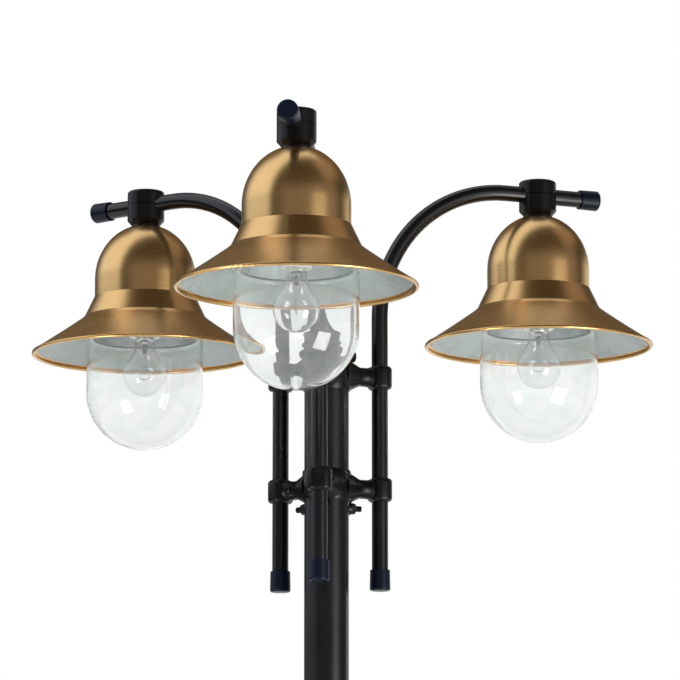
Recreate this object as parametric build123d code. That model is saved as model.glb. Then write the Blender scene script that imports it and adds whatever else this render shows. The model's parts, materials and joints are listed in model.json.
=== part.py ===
from build123d import *
from math import cos, hypot, radians, sin, sqrt
import os

# Triple head lamp post: a tubular mast with two cast three-armed brackets, three goose-neck arms
# that pass through the brackets, and a spun shade with a clear glass globe under each arm.
# Millimetres, +Z up. The origin is on the ground, at the centre of the foot. The front arm points
# to -Y, the other two stand 120 degrees apart.

# ---------------------------------------------------------------- mast and foot
mast_height = 2100.0  # ground to the top end of the mast tube
mast_diameter = 60.0
mast_wall = 2.5
foot_diameter = 220.0
foot_thickness = 10.0
foot_hub_height = 62.0  # ground to the top of the hub that the mast stands in
foot_hub_wall = 7.0
foot_hub_flare = 12.0  # concave blend from the plate up to the hub
foot_edge_chamfer = 2.0
mast_fit = 0.2  # radial room between the mast and what is pushed over or into it
finial_height = 56.5  # mast top to the tip
finial_bead_height = 4.0
finial_drum_height = 12.0
finial_drum_inset = 1.0  # drum inside the mast's surface
finial_spire_ledge = 5.8
finial_spire_hollow = 52.0  # radius of the hollow curve
finial_tip_radius = 2.2
finial_spigot_length = 30.0
finial_spigot_wall = 3.0
anchor_circle = 170.0
anchor_hole_diameter = 13.0
anchor_holes = 4
cable_entry_diameter = 40.0

# ---------------------------------------------------------------- arm brackets
bracket_spacing = 153.0  # between the axes of the upper and lower stubs
collar_wall = 7.8
collar_short_side = 23.0  # stub axis to the nearer end of the collar
collar_long_side = 36.0  # stub axis to the end that carries the bolts
collar_taper = 10.0  # length of the tapered collar ends
collar_end_wall = 2.4  # wall left at the tapered ends
bell_diameter = 43.0  # trumpet where the stub leaves the collar
bell_radius = 17.0
bell_length = 18.0  # mast surface to the end of the trumpet
stub_diameter = 25.6
socket_width = 34.0  # across the arm, seen from outside
socket_depth = 30.0  # along the arm
socket_height = 32.0
socket_corner = 12.0
socket_edge_fillet = 3.0
bolt_boss_diameter = 20.0
bolt_boss_height = 1.2
set_bolt_diameter = 10.0
set_bolt_tip = 8.4  # beyond the lock nut
lock_nut_flats = 17.0
lock_nut_thickness = 6.0
grub_screw_diameter = 8.0
grub_screw_sink = 1.0
stub_boss_diameter = 17.0
stub_boss_height = 1.6
stub_screw_head_diameter = 10.5
stub_screw_head_height = 3.2
stub_screw_diameter = 5.0
stub_screw_depth = 8.0
stub_screw_place = 0.45  # share of the free stub length, from the trumpet to the socket
fastener_fit = 0.1  # radial room round a fastener in its hole
tip_gap = 0.3  # a screw tip stops this short of a round tube

# ---------------------------------------------------------------- arms
arm_azimuths = {"front": -90.0, "right": 30.0, "left": 150.0}
arm_circle_radius = 78.0  # mast axis to the axis of the upright arm tubes
arm_tube_diameter = 22.0
arm_tube_wall = 2.0
arm_rise = 272.0  # upper stub axis to the level part of the arm
arm_bend_radius = 190.0
arm_reach = 239.0  # upright tube axis to the head axis
arm_overhang = 88.0  # head axis to the outer tube end
arm_tail = 132.0  # lower stub axis to the lower tube end
swivel_fit = 0.05  # radial running clearance of the tubes in sockets and clamps
end_cap_length = 28.0
end_cap_wall = 2.3  # at the mouth
end_cap_draft = 0.5  # the closed end is this much wider in radius
end_cap_floor = 4.0
end_cap_edge_fillet = 3.0
end_cap_fit = 0.1
cable_hole_diameter = 8.0

# ---------------------------------------------------------------- tube clamp on each head
clamp_diameter = 51.5
clamp_rise = 20.0  # tube axis to the top of the clamp
clamp_depth = 21.0  # tube axis to the lower edge of the wide part
clamp_chamfer = 7.0
clamp_drop = 36.5  # tube axis to the top of the shade
clamp_neck_diameter = 34.0
clamp_top_fillet = 4.0
clamp_split = 0.8  # gap between the two halves
clamp_screw_diameter = 5.0
clamp_screw_length = 28.0
clamp_screw_head_diameter = 8.5
clamp_screw_head_height = 5.0
clamp_screw_head_sink = 1.0  # the head sits this far below the top

# ---------------------------------------------------------------- shade (heights above the rim)
shade_height = 177.0  # rim plane to the flat top
shade_sheet = 1.0
dome_radius = 70.5
dome_flat_diameter = 37.0
dome_edge_height = 82.0
dome_lap = 10.0  # how far the skirt reaches up inside the dome
lap_fit = 0.2
band_ledge = 0.7  # the band starts this far outside the dome
band_height = 54.0  # lower end of the conical band
band_margin = 3.0  # band end outside the globe ring
shoulder_width = 5.0
shoulder_drop = 4.6
rim_radius = 157.0
rim_bead_radius = 2.5
skirt_hollow = 0.6  # how far the skirt sags below a straight cone
reflector_sheet = 0.8
reflector_gap = 0.4
reflector_edge_gap = 1.6

# ---------------------------------------------------------------- globe, carrier and lamp holder
globe_radius = 81.0
globe_wall = 3.0
globe_depth = 132.0  # rim plane to the lowest point of the globe
globe_top_height = 18.0  # where the shoulder meets the straight side
globe_shoulder_radius = 7.0
globe_neck_height = 18.0
globe_neck_fit = 0.6
carrier_ring_overhang = 0.5  # ring outside the globe
carrier_ring_gap = 0.5  # shoulder of the globe to the ring
carrier_flange_thickness = 2.4
carrier_seat_gap = 0.4
carrier_web = 3.0
carrier_boss_diameter = 34.0
carrier_boss_top = 88.0  # above the rim
carrier_boss_thickness = 6.0
gasket_thickness = 2.5
gasket_gap = 0.3
nipple_diameter = 10.0
nipple_bore = 7.0
nipple_grip = 12.0  # how far it screws into the clamp and the holder
nipple_nut_flats = 17.0
nipple_nut_thickness = 4.0
holder_diameter = 42.0
holder_height = 52.0
holder_shoulder = 12.0
holder_neck_diameter = 26.0
holder_cavity_depth = 29.0
bulb_socket_gap = 0.4

# ---------------------------------------------------------------- bulb
bulb_radius = 30.0
bulb_length = 105.0
bulb_glass = 0.8
bulb_neck_diameter = 27.4
bulb_tangent_angle = 50.0  # where the neck curve leaves the round part
bulb_cap_diameter = 26.0
bulb_cap_height = 18.0
bulb_cap_taper = 6.0
bulb_contact_diameter = 10.0
bulb_contact_height = 3.0
bulb_entry = 5.0  # cap mouth to the holder's lower edge
stem_diameter = 12.0
stem_length = 36.0
stem_tip_diameter = 5.0
lead_diameter = 0.9
lead_spread = 9.0  # half the distance between the lead tips
lead_length = 16.0
filament_diameter = 1.2

# ---------------------------------------------------------------- worked out from the above
mast_radius = mast_diameter / 2
mast_bore_radius = mast_radius - mast_wall
collar_radius = mast_radius + collar_wall
upper_stub_z = mast_height - collar_long_side
lower_stub_z = upper_stub_z - bracket_spacing
arm_z = upper_stub_z + arm_rise
head_circle_radius = arm_circle_radius + arm_reach
rim_z = arm_z - clamp_drop - shade_height
arm_radius = arm_tube_diameter / 2
stub_radius = stub_diameter / 2
bolt_level = bolt_boss_diameter / 2 - collar_long_side  # below the stub axis
ring_radius = globe_radius + carrier_ring_overhang
band_radius = ring_radius + band_margin
shoulder_radius = band_radius + shoulder_width
shoulder_height = band_height - shoulder_drop
globe_neck_radius = globe_radius - globe_shoulder_radius
globe_shoulder_top = globe_top_height + globe_shoulder_radius
globe_neck_top = globe_shoulder_top + globe_neck_height
carrier_ring_bottom = globe_shoulder_top + carrier_ring_gap
gasket_top = globe_neck_top + gasket_gap + gasket_thickness
carrier_boss_bottom = carrier_boss_top - carrier_boss_thickness
holder_top = carrier_boss_bottom - nipple_nut_thickness
holder_bottom = holder_top - holder_height
bulb_cap_mouth = holder_bottom - bulb_entry
bulb_cap_total = bulb_cap_height + bulb_cap_taper + bulb_contact_height
bulb_centre = bulb_cap_mouth + bulb_cap_total - bulb_length + bulb_radius


# ---------------------------------------------------------------- helpers
def turned(profile):
    """Solid of revolution about Z from a closed profile of (radius, height)."""
    return revolve(Plane.XZ * profile, Axis.Z)


def outline(*points):
    """Closed straight-sided face."""
    return make_face(Polyline(*points, close=True))


def plain_ring(outer_radius, inner_radius, bottom, top):
    """Turned ring with a rectangular section."""
    corners = (
        (inner_radius, bottom),
        (outer_radius, bottom),
        (outer_radius, top),
        (inner_radius, top),
    )
    return turned(outline(*corners))


def upright(radius, bottom, top):
    """Upright cylinder between two heights."""
    return Pos(0, 0, (bottom + top) / 2) * Cylinder(radius, top - bottom)


def outward(radius, start, end, height=0.0):
    """Cylinder along +X between two distances from the Z axis."""
    return Pos((start + end) / 2, 0, height) * Rot(0, 90, 0) * Cylinder(radius, end - start)


def hex_prism(across_flats, bottom, top):
    """Upright hexagonal prism."""
    hexagon = RegularPolygon(across_flats / 2, 6, major_radius=False)
    return Pos(0, 0, bottom) * extrude(hexagon, top - bottom)


def on_arms(shape):
    """The same shape under each of the three arms, as a list of separate solids."""
    return [Rot(0, 0, azimuth) * shape for azimuth in arm_azimuths.values()]


def fused_on_arms(body, shape):
    for copy in on_arms(shape):
        body += copy
    return body


def cut_on_arms(body, shape):
    for copy in on_arms(shape):
        body -= copy
    return body


# ---------------------------------------------------------------- mast group
def make_foot():
    hub_radius = mast_radius + foot_hub_wall
    plate = upright(foot_diameter / 2, 0, foot_thickness)
    plate = chamfer(plate.edges().group_by(Axis.Z)[-1], foot_edge_chamfer)
    blend_start = (hub_radius + foot_hub_flare, foot_thickness)
    blend_end = (hub_radius, foot_thickness + foot_hub_flare)
    hub = make_face(
        Curve()
        + [
            Line((0, foot_thickness), blend_start),
            RadiusArc(blend_start, blend_end, foot_hub_flare),
            Line(blend_end, (hub_radius, foot_hub_height)),
            Line((hub_radius, foot_hub_height), (0, foot_hub_height)),
            Line((0, foot_hub_height), (0, foot_thickness)),
        ]
    )
    foot = plate + turned(hub)
    foot -= upright(mast_radius + mast_fit, foot_thickness, foot_hub_height)
    foot -= upright(cable_entry_diameter / 2, 0, foot_thickness)
    for place in PolarLocations(anchor_circle / 2, anchor_holes, start_angle=180 / anchor_holes):
        foot -= place * upright(anchor_hole_diameter / 2, 0, foot_thickness)
    return foot


def make_mast():
    mast = plain_ring(mast_radius, mast_bore_radius, foot_thickness, mast_height)
    cable_way = outward(cable_hole_diameter / 2, 0, mast_diameter, upper_stub_z)
    return cut_on_arms(mast, cable_way)


def quarter_round(start, end, centre, radius):
    """Convex arc through the point of a circle at 45 degrees, up and outward of its centre."""
    diagonal = radius * sin(radians(45))
    return ThreePointArc(start, (centre[0] + diagonal, centre[1] + diagonal), end)


def make_finial():
    """Turned cap with a spigot inside the mast, two beads and a hollowed spire."""
    spigot = mast_bore_radius - mast_fit
    hollow = spigot - finial_spigot_wall
    drum = mast_radius - finial_drum_inset
    bead = finial_bead_height / 2
    lower_bead = drum + bead
    bead_foot = finial_bead_height + finial_drum_height
    spire_foot = bead_foot + finial_bead_height
    spire_foot_radius = drum - finial_spire_ledge
    tip = finial_tip_radius
    spire_top = finial_height - tip
    edges = [
        Polyline((hollow, 0), (hollow, -finial_spigot_length), (spigot, -finial_spigot_length)),
        Polyline((spigot, -finial_spigot_length), (spigot, 0), (lower_bead, 0)),
        RadiusArc((lower_bead, 0), (lower_bead, finial_bead_height), -bead),
        Polyline((lower_bead, finial_bead_height), (drum, finial_bead_height), (drum, bead_foot)),
        RadiusArc((drum, bead_foot), (drum, spire_foot), -bead),
        Line((drum, spire_foot), (spire_foot_radius, spire_foot)),
        RadiusArc((spire_foot_radius, spire_foot), (tip, spire_top), finial_spire_hollow),
        quarter_round((tip, spire_top), (0, finial_height), (0, spire_top), tip),
        Polyline((0, finial_height), (0, 0), (hollow, 0)),
    ]
    return Pos(0, 0, mast_height) * turned(make_face(Curve() + edges))


def make_bracket():
    """Casting with its stub axis at z = 0 and its short side up."""
    end_radius = mast_radius + collar_end_wall
    collar = turned(
        outline(
            (0, -collar_long_side),
            (end_radius, -collar_long_side),
            (collar_radius, collar_taper - collar_long_side),
            (collar_radius, collar_short_side - collar_taper),
            (end_radius, collar_short_side),
            (0, collar_short_side),
        )
    )
    bell_end = mast_radius + bell_length
    bell_rise = bell_diameter / 2 - stub_radius
    bell_start = bell_end - sqrt(bell_radius**2 - (bell_radius - bell_rise) ** 2)
    stub_profile = [
        Line((0, 0), (0, bell_diameter / 2)),
        Line((0, bell_diameter / 2), (bell_start, bell_diameter / 2)),
        RadiusArc((bell_start, bell_diameter / 2), (bell_end, stub_radius), -bell_radius),
        Line((bell_end, stub_radius), (arm_circle_radius, stub_radius)),
        Line((arm_circle_radius, stub_radius), (arm_circle_radius, 0)),
        Line((arm_circle_radius, 0), (0, 0)),
    ]
    stub = revolve(make_face(Curve() + stub_profile), Axis.X)
    sleeve = extrude(RectangleRounded(socket_depth, socket_width, socket_corner), socket_height)
    sleeve = fillet(
        sleeve.edges().group_by(Axis.Z)[0] + sleeve.edges().group_by(Axis.Z)[-1],
        socket_edge_fillet,
    )
    sleeve = Pos(arm_circle_radius, 0, -socket_height / 2) * sleeve
    bolt_boss = outward(
        bolt_boss_diameter / 2, 0, collar_radius + bolt_boss_height, bolt_level
    )
    bracket = collar
    for shape in (stub, sleeve, bolt_boss, stub_boss()):
        bracket = fused_on_arms(bracket, shape)
    bracket -= upright(mast_radius + mast_fit, -collar_long_side, collar_short_side)
    arm_bore = Pos(arm_circle_radius, 0, 0) * Cylinder(arm_radius + swivel_fit, socket_height)
    return cut_on_arms(bracket, arm_bore)


def stub_screw_radius():
    """Distance of the stub screws from the mast axis."""
    free_start = mast_radius + bell_length
    free_end = arm_circle_radius - socket_depth / 2
    return free_start + stub_screw_place * (free_end - free_start)


def on_stub_flank(shape):
    """Turns a shape built along +Z so that it stands on the stub's side, Z outward."""
    return Pos(stub_screw_radius(), 0, 0) * Rot(-90, 0, 0) * shape


def stub_boss():
    return on_stub_flank(upright(stub_boss_diameter / 2, 0, stub_radius + stub_boss_height))


def stub_screw():
    seat = stub_radius + stub_boss_height
    head = upright(stub_screw_head_diameter / 2, seat, seat + stub_screw_head_height)
    head = chamfer(head.edges().group_by(Axis.Z)[-1], stub_screw_head_height / 2)
    shank = upright(stub_screw_diameter / 2, seat - stub_screw_depth, seat)
    return on_stub_flank(head + shank)


def stub_screw_hole():
    seat = stub_radius + stub_boss_height
    hole_radius = stub_screw_diameter / 2 + fastener_fit
    return on_stub_flank(upright(hole_radius, seat - stub_screw_depth - tip_gap, seat))


def make_lower_bracket():
    bracket = make_bracket()
    bolt_hole_radius = set_bolt_diameter / 2 + fastener_fit
    bolt_hole = outward(bolt_hole_radius, 0, arm_circle_radius, bolt_level)
    bracket = cut_on_arms(bracket, bolt_hole)
    bracket = cut_on_arms(bracket, stub_screw_hole())
    return Pos(0, 0, lower_stub_z) * bracket


def make_upper_bracket():
    bracket = make_bracket()
    screw_hole_radius = grub_screw_diameter / 2 + fastener_fit
    screw_hole = outward(screw_hole_radius, 0, arm_circle_radius, bolt_level)
    bracket = cut_on_arms(bracket, screw_hole)
    bracket = cut_on_arms(bracket, stub_screw_hole())
    cable_way = outward(cable_hole_diameter / 2, 0, arm_circle_radius)
    return Pos(0, 0, upper_stub_z) * flipped(cut_on_arms(bracket, cable_way))


def flipped(shape):
    """Upside down about the front arm's own axis, so that the arms still line up."""
    return Rot(0, 0, arm_azimuths["front"]) * Rot(180, 0, 0) * Rot(0, 0, -arm_azimuths["front"]) * shape


def make_set_bolts():
    """Set bolts with their lock nuts, one under each stub of the lower bracket."""
    seat = collar_radius + bolt_boss_height
    bolt_start = mast_radius + tip_gap
    bolt_end = seat + lock_nut_thickness + set_bolt_tip
    bolt = upright(set_bolt_diameter / 2, bolt_start, bolt_end)
    bolt = chamfer(bolt.edges().group_by(Axis.Z)[-1], set_bolt_diameter / 6)
    nut = hex_prism(lock_nut_flats, seat, seat + lock_nut_thickness)
    nut -= upright(set_bolt_diameter / 2 + fastener_fit, seat, seat + lock_nut_thickness)
    lying = Pos(0, 0, lower_stub_z + bolt_level) * Rot(0, 90, 0)
    return on_arms(lying * bolt) + on_arms(lying * nut)


def make_grub_screws():
    """Flush grub screws of the upper bracket, where the lower one has its set bolts."""
    seat = collar_radius + bolt_boss_height
    screw = upright(grub_screw_diameter / 2, mast_radius + tip_gap, seat - grub_screw_sink)
    screw -= hex_prism(grub_screw_diameter / 2, seat - grub_screw_diameter / 2, seat)
    lying = Pos(0, 0, upper_stub_z - bolt_level) * Rot(0, 90, 0)
    return on_arms(lying * screw)


def make_stub_screws():
    lower = Pos(0, 0, lower_stub_z) * Compound(on_arms(stub_screw()))
    upper = Pos(0, 0, upper_stub_z) * flipped(Compound(on_arms(stub_screw())))
    return list(lower.solids()) + list(upper.solids())


# ---------------------------------------------------------------- arms, built along +X
def make_arm_tube():
    path = FilletPolyline(
        (arm_circle_radius, 0, lower_stub_z - arm_tail),
        (arm_circle_radius, 0, arm_z),
        (head_circle_radius + arm_overhang, 0, arm_z),
        radius=arm_bend_radius,
    )
    section = Circle(arm_radius) - Circle(arm_radius - arm_tube_wall)
    tube = sweep(Plane(path @ 0, z_dir=path % 0) * section, path)
    hole_radius = cable_hole_diameter / 2
    tube -= Pos(head_circle_radius, 0, 0) * upright(hole_radius, arm_z - arm_tube_diameter, arm_z)
    tube -= outward(hole_radius, 0, arm_circle_radius, upper_stub_z)
    return tube


def make_end_cap():
    """Push-on cap with its floor at z = 0 and its mouth up."""
    bore = arm_radius + end_cap_fit
    mouth = bore + end_cap_wall
    closed = mouth + end_cap_draft
    cap = turned(
        outline(
            (0, -end_cap_floor),
            (closed, -end_cap_floor),
            (mouth, end_cap_length - end_cap_floor),
            (bore, end_cap_length - end_cap_floor),
            (bore, 0),
            (0, 0),
        )
    )
    rim_edge = cap.edges().group_by(Axis.Z)[0]
    return fillet(rim_edge, end_cap_edge_fillet)


def make_lower_cap():
    return Pos(arm_circle_radius, 0, lower_stub_z - arm_tail) * make_end_cap()


def make_outer_cap():
    return Pos(head_circle_radius + arm_overhang, 0, arm_z) * Rot(0, -90, 0) * make_end_cap()


# ---------------------------------------------------------------- head, built along +X
# Clamp parts have their origin on the arm tube axis, the other parts on the rim plane.
def clamp_screw_offset():
    """Half the distance between the clamp screws, midway between tube and outside."""
    return (arm_radius + clamp_diameter / 2) / 2


def both_sides(shape):
    offset = clamp_screw_offset()
    return [Pos(0, side * offset, 0) * shape for side in (-1, 1)]


def clamp_head_seat():
    return clamp_rise - clamp_screw_head_sink - clamp_screw_head_height


def make_clamp_cap():
    cap = upright(clamp_diameter / 2, clamp_split / 2, clamp_rise)
    cap = fillet(cap.edges().group_by(Axis.Z)[-1], clamp_top_fillet)
    for hole in both_sides(upright(clamp_screw_diameter / 2 + fastener_fit, 0, clamp_rise)):
        cap -= hole
    counterbore_radius = clamp_screw_head_diameter / 2 + fastener_fit
    for counterbore in both_sides(upright(counterbore_radius, clamp_head_seat(), clamp_rise)):
        cap -= counterbore
    return cap - Rot(0, 90, 0) * Cylinder(arm_radius + swivel_fit, clamp_diameter)


def make_clamp_body():
    wide = clamp_diameter / 2
    neck = clamp_neck_diameter / 2
    body = turned(
        outline(
            (0, -clamp_drop),
            (neck, -clamp_drop),
            (neck, -clamp_depth - clamp_chamfer),
            (wide, -clamp_depth),
            (wide, -clamp_split / 2),
            (0, -clamp_split / 2),
        )
    )
    screw_hole_end = clamp_head_seat() - clamp_screw_length - tip_gap
    for hole in both_sides(upright(clamp_screw_diameter / 2 + fastener_fit, screw_hole_end, 0)):
        body -= hole
    nipple_hole = nipple_diameter / 2 + fastener_fit
    body -= upright(nipple_hole, -clamp_drop, nipple_grip - clamp_drop)
    body -= upright(cable_hole_diameter / 2, -clamp_drop, 0)
    return body - Rot(0, 90, 0) * Cylinder(arm_radius + swivel_fit, clamp_diameter)


def make_clamp_screws():
    seat = clamp_head_seat()
    head = upright(clamp_screw_head_diameter / 2, seat, seat + clamp_screw_head_height)
    key_hole = hex_prism(clamp_screw_diameter * 0.8, seat + clamp_screw_head_height / 2, clamp_rise)
    shank = upright(clamp_screw_diameter / 2, seat - clamp_screw_length, seat)
    return both_sides(head - key_hole + shank)


def dome_centre():
    """Height of the dome's centre: its sphere meets the edge of the flat top."""
    return shade_height - sqrt(dome_radius**2 - (dome_flat_diameter / 2) ** 2)


def dome_face(inset):
    """Half section of the whole dome, drawn in by inset."""
    radius = dome_radius - inset
    top = shade_height - inset
    centre = dome_centre()
    flat = sqrt(radius**2 - (top - centre) ** 2)
    edges = [
        Line((0, dome_edge_height), (radius, dome_edge_height)),
        Line((radius, dome_edge_height), (radius, centre)),
        quarter_round((radius, centre), (flat, top), (0, centre), radius),
        Line((flat, top), (0, top)),
        Line((0, top), (0, dome_edge_height)),
    ]
    return make_face(Curve() + edges)


def make_dome():
    dome = turned(dome_face(0)) - turned(dome_face(shade_sheet))
    return dome - upright(nipple_diameter / 2 + fastener_fit, dome_edge_height, shade_height)


def cone_point(lower, upper, height, inset):
    """Radius at a height on the cone through two (radius, height) points, drawn in by inset."""
    run = lower[0] - upper[0]
    drop = upper[1] - lower[1]
    slant = hypot(run, drop)
    return upper[0] + run * (upper[1] - height) / drop - inset * slant / drop


def skirt_edges():
    """Upper surface of the skirt, from the lap inside the dome to the rolled rim."""
    neck = dome_radius - shade_sheet - lap_fit
    band_top = dome_radius + band_ledge
    rim = (rim_radius - rim_bead_radius, 2 * rim_bead_radius)
    shoulder = (shoulder_radius, shoulder_height)
    return [
        Polyline(
            (neck, dome_edge_height + dome_lap),
            (neck, dome_edge_height),
            (band_top, dome_edge_height),
            (band_radius, band_height),
            shoulder,
        ),
        skirt_curve(shoulder, rim),
    ]


def skirt_curve(start, end):
    """Slightly hollow slope between two points."""
    middle = ((start[0] + end[0]) / 2, (start[1] + end[1]) / 2 - skirt_hollow)
    return ThreePointArc(start, middle, end)


def spun(edges, thickness):
    """Revolved sheet that lies under the given line, which runs outward and down."""
    path = Wire([edge for curve in edges for edge in curve.edges()])
    section = make_face(path.offset_2d(thickness, kind=Kind.INTERSECTION, side=Side.RIGHT))
    return turned(section)


def make_skirt():
    bead_centre = rim_radius - rim_bead_radius
    bead = turned(Pos(bead_centre, rim_bead_radius) * Circle(rim_bead_radius))
    return spun(skirt_edges(), shade_sheet) + bead


def flange_height():
    """Underside of the carrier flange, where the reflector is seated."""
    return shoulder_height - carrier_seat_gap


def reflector_slope(height):
    """Radius of the reflector's upper surface at a height."""
    drawn_in = shade_sheet + reflector_gap
    rim = (rim_radius - rim_bead_radius, 2 * rim_bead_radius)
    return cone_point(rim, (shoulder_radius, shoulder_height), height, drawn_in)


def make_reflector():
    top = flange_height()
    edge_height = 2 * rim_bead_radius + reflector_edge_gap
    hole = ring_radius + reflector_gap
    slope_start = (reflector_slope(top), top)
    slope_end = (reflector_slope(edge_height), edge_height)
    edges = [Line((hole, top), slope_start), skirt_curve(slope_start, slope_end)]
    return spun(edges, reflector_sheet)


def make_carrier():
    """Cast ring that the globe screws into, with a conical web up to the nipple."""
    thread_radius = globe_neck_radius + globe_neck_fit
    ledge_radius = globe_neck_radius - globe_wall - globe_neck_fit
    flange_bottom = flange_height()
    flange_top = flange_bottom + carrier_flange_thickness
    band_end = (band_radius, band_height)
    drawn_in = shade_sheet + carrier_seat_gap
    flange_radius = cone_point(
        (shoulder_radius, shoulder_height), band_end, flange_top, drawn_in
    )
    boss_radius = carrier_boss_diameter / 2
    bore = nipple_diameter / 2 + fastener_fit
    return turned(
        outline(
            (thread_radius, carrier_ring_bottom),
            (ring_radius, carrier_ring_bottom),
            (ring_radius, flange_bottom),
            (flange_radius, flange_bottom),
            (flange_radius, flange_top),
            (thread_radius, flange_top + carrier_web),
            (boss_radius, carrier_boss_top),
            (bore, carrier_boss_top),
            (bore, carrier_boss_bottom),
            (boss_radius, carrier_boss_bottom),
            (ledge_radius, flange_top),
            (ledge_radius, gasket_top),
            (thread_radius, gasket_top),
        )
    )


def make_gasket():
    outer = globe_neck_radius
    return plain_ring(outer, outer - globe_wall, gasket_top - gasket_thickness, gasket_top)


def make_holder():
    """Porcelain lamp holder that hangs on the nipple."""
    outer = holder_diameter / 2
    neck = holder_neck_diameter / 2
    holder = turned(
        outline(
            (0, holder_bottom),
            (outer, holder_bottom),
            (outer, holder_top - holder_shoulder),
            (neck, holder_top - holder_shoulder / 2),
            (neck, holder_top),
            (0, holder_top),
        )
    )
    cavity_radius = bulb_cap_diameter / 2 + bulb_socket_gap
    holder -= upright(cavity_radius, holder_bottom, holder_bottom + holder_cavity_depth)
    nipple_hole = nipple_diameter / 2 + fastener_fit
    return holder - upright(nipple_hole, holder_bottom, holder_top)


def make_nipple():
    """Hollow threaded nipple with the nuts under the dome and on both sides of the carrier."""
    top = shade_height + nipple_grip - tip_gap
    bottom = holder_top - nipple_grip
    nipple = plain_ring(nipple_diameter / 2, nipple_bore / 2, bottom, top)
    dome_underside = shade_height - shade_sheet
    nut_tops = (
        dome_underside,
        carrier_boss_top + nipple_nut_thickness,
        carrier_boss_bottom,
    )
    nuts = []
    for nut_top in nut_tops:
        nut_bottom = nut_top - nipple_nut_thickness
        nut = hex_prism(nipple_nut_flats, nut_bottom, nut_top)
        nuts.append(nut - upright(nipple_diameter / 2 + fastener_fit, nut_bottom, nut_top))
    return [nipple] + nuts


# ---------------------------------------------------------------- globe and bulb
def globe_half(inset):
    """Half section of the globe, filled up to the axis and drawn in by inset."""
    radius = globe_radius - inset
    neck = globe_neck_radius - inset
    corner = globe_shoulder_radius - inset
    shoulder = globe_top_height + corner
    centre = globe_radius - globe_depth
    bottom = (radius * sin(radians(45)), centre - radius * cos(radians(45)))
    edges = [
        Line((0, centre - radius), (0, globe_neck_top)),
        Line((0, globe_neck_top), (neck, globe_neck_top)),
        Line((neck, globe_neck_top), (neck, shoulder)),
        quarter_round(
            (globe_neck_radius, shoulder),
            (radius, globe_top_height),
            (globe_neck_radius, globe_top_height),
            corner,
        ),
        Line((radius, globe_top_height), (radius, centre)),
        ThreePointArc((radius, centre), bottom, (0, centre - radius)),
    ]
    if inset > 0:
        edges.append(Line((neck, shoulder), (globe_neck_radius, shoulder)))
    return make_face(Curve() + edges)


def make_globe():
    return turned(globe_half(0)) - turned(globe_half(globe_wall))


def bulb_half(inset):
    """Half section of the bulb glass, filled up to the axis and drawn in by inset."""
    radius = bulb_radius - inset
    angle = radians(bulb_tangent_angle)
    neck = bulb_neck_diameter / 2 - inset
    leave = (radius * sin(angle), bulb_centre + radius * cos(angle))
    side = (radius * sin(radians(110)), bulb_centre + radius * cos(radians(110)))
    base = (0, bulb_centre - radius)
    edges = [
        Line(base, (0, bulb_cap_mouth)),
        Line((0, bulb_cap_mouth), (neck, bulb_cap_mouth)),
        TangentArc(leave, (neck, bulb_cap_mouth), tangent=(-cos(angle), sin(angle))),
        ThreePointArc(leave, side, base),
    ]
    return make_face(Curve() + edges)


def make_bulb_glass():
    """Clear envelope, with the glass stem that carries the leads."""
    envelope = turned(bulb_half(0)) - turned(bulb_half(bulb_glass))
    stem = turned(
        outline(
            (0, bulb_cap_mouth - stem_length),
            (stem_tip_diameter / 2, bulb_cap_mouth - stem_length),
            (stem_tip_diameter / 2, bulb_cap_mouth - stem_length / 2),
            (stem_diameter / 2, bulb_cap_mouth),
            (0, bulb_cap_mouth),
        )
    )
    return [envelope, stem]


def make_bulb_cap():
    shell = bulb_cap_diameter / 2
    contact = bulb_contact_diameter / 2
    contact_foot = bulb_cap_mouth + bulb_cap_height + bulb_cap_taper
    return turned(
        outline(
            (0, bulb_cap_mouth),
            (shell, bulb_cap_mouth),
            (shell, bulb_cap_mouth + bulb_cap_height),
            (contact, contact_foot),
            (contact, contact_foot + bulb_contact_height),
            (0, contact_foot + bulb_contact_height),
        )
    )


def make_filament():
    """Two leads that spread from the stem tip, and the filament between them."""
    stem_tip = bulb_cap_mouth - stem_length
    lead_foot = stem_tip_diameter / 2 - lead_diameter
    lead_tip = stem_tip - lead_length
    lead_radius = lead_diameter / 2
    wire = Cylinder(filament_diameter / 2, 2 * lead_spread, rotation=(0, 90, 0))
    filament = Pos(0, 0, lead_tip) * wire
    for side in (-1, 1):
        start = Vector(side * lead_foot, 0, stem_tip)
        end = Vector(side * lead_spread, 0, lead_tip)
        lead = Solid.make_cylinder(lead_radius, (end - start).length, Plane(start, z_dir=end - start))
        filament += lead
    above_tip = Pos(0, 0, stem_tip + stem_length / 2) * Box(stem_length, stem_length, stem_length)
    return filament - above_tip


# ---------------------------------------------------------------- assembly
def as_compound(made):
    if isinstance(made, (list, tuple)):
        return Compound([solid for piece in made for solid in piece.solids()])
    return made


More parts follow.
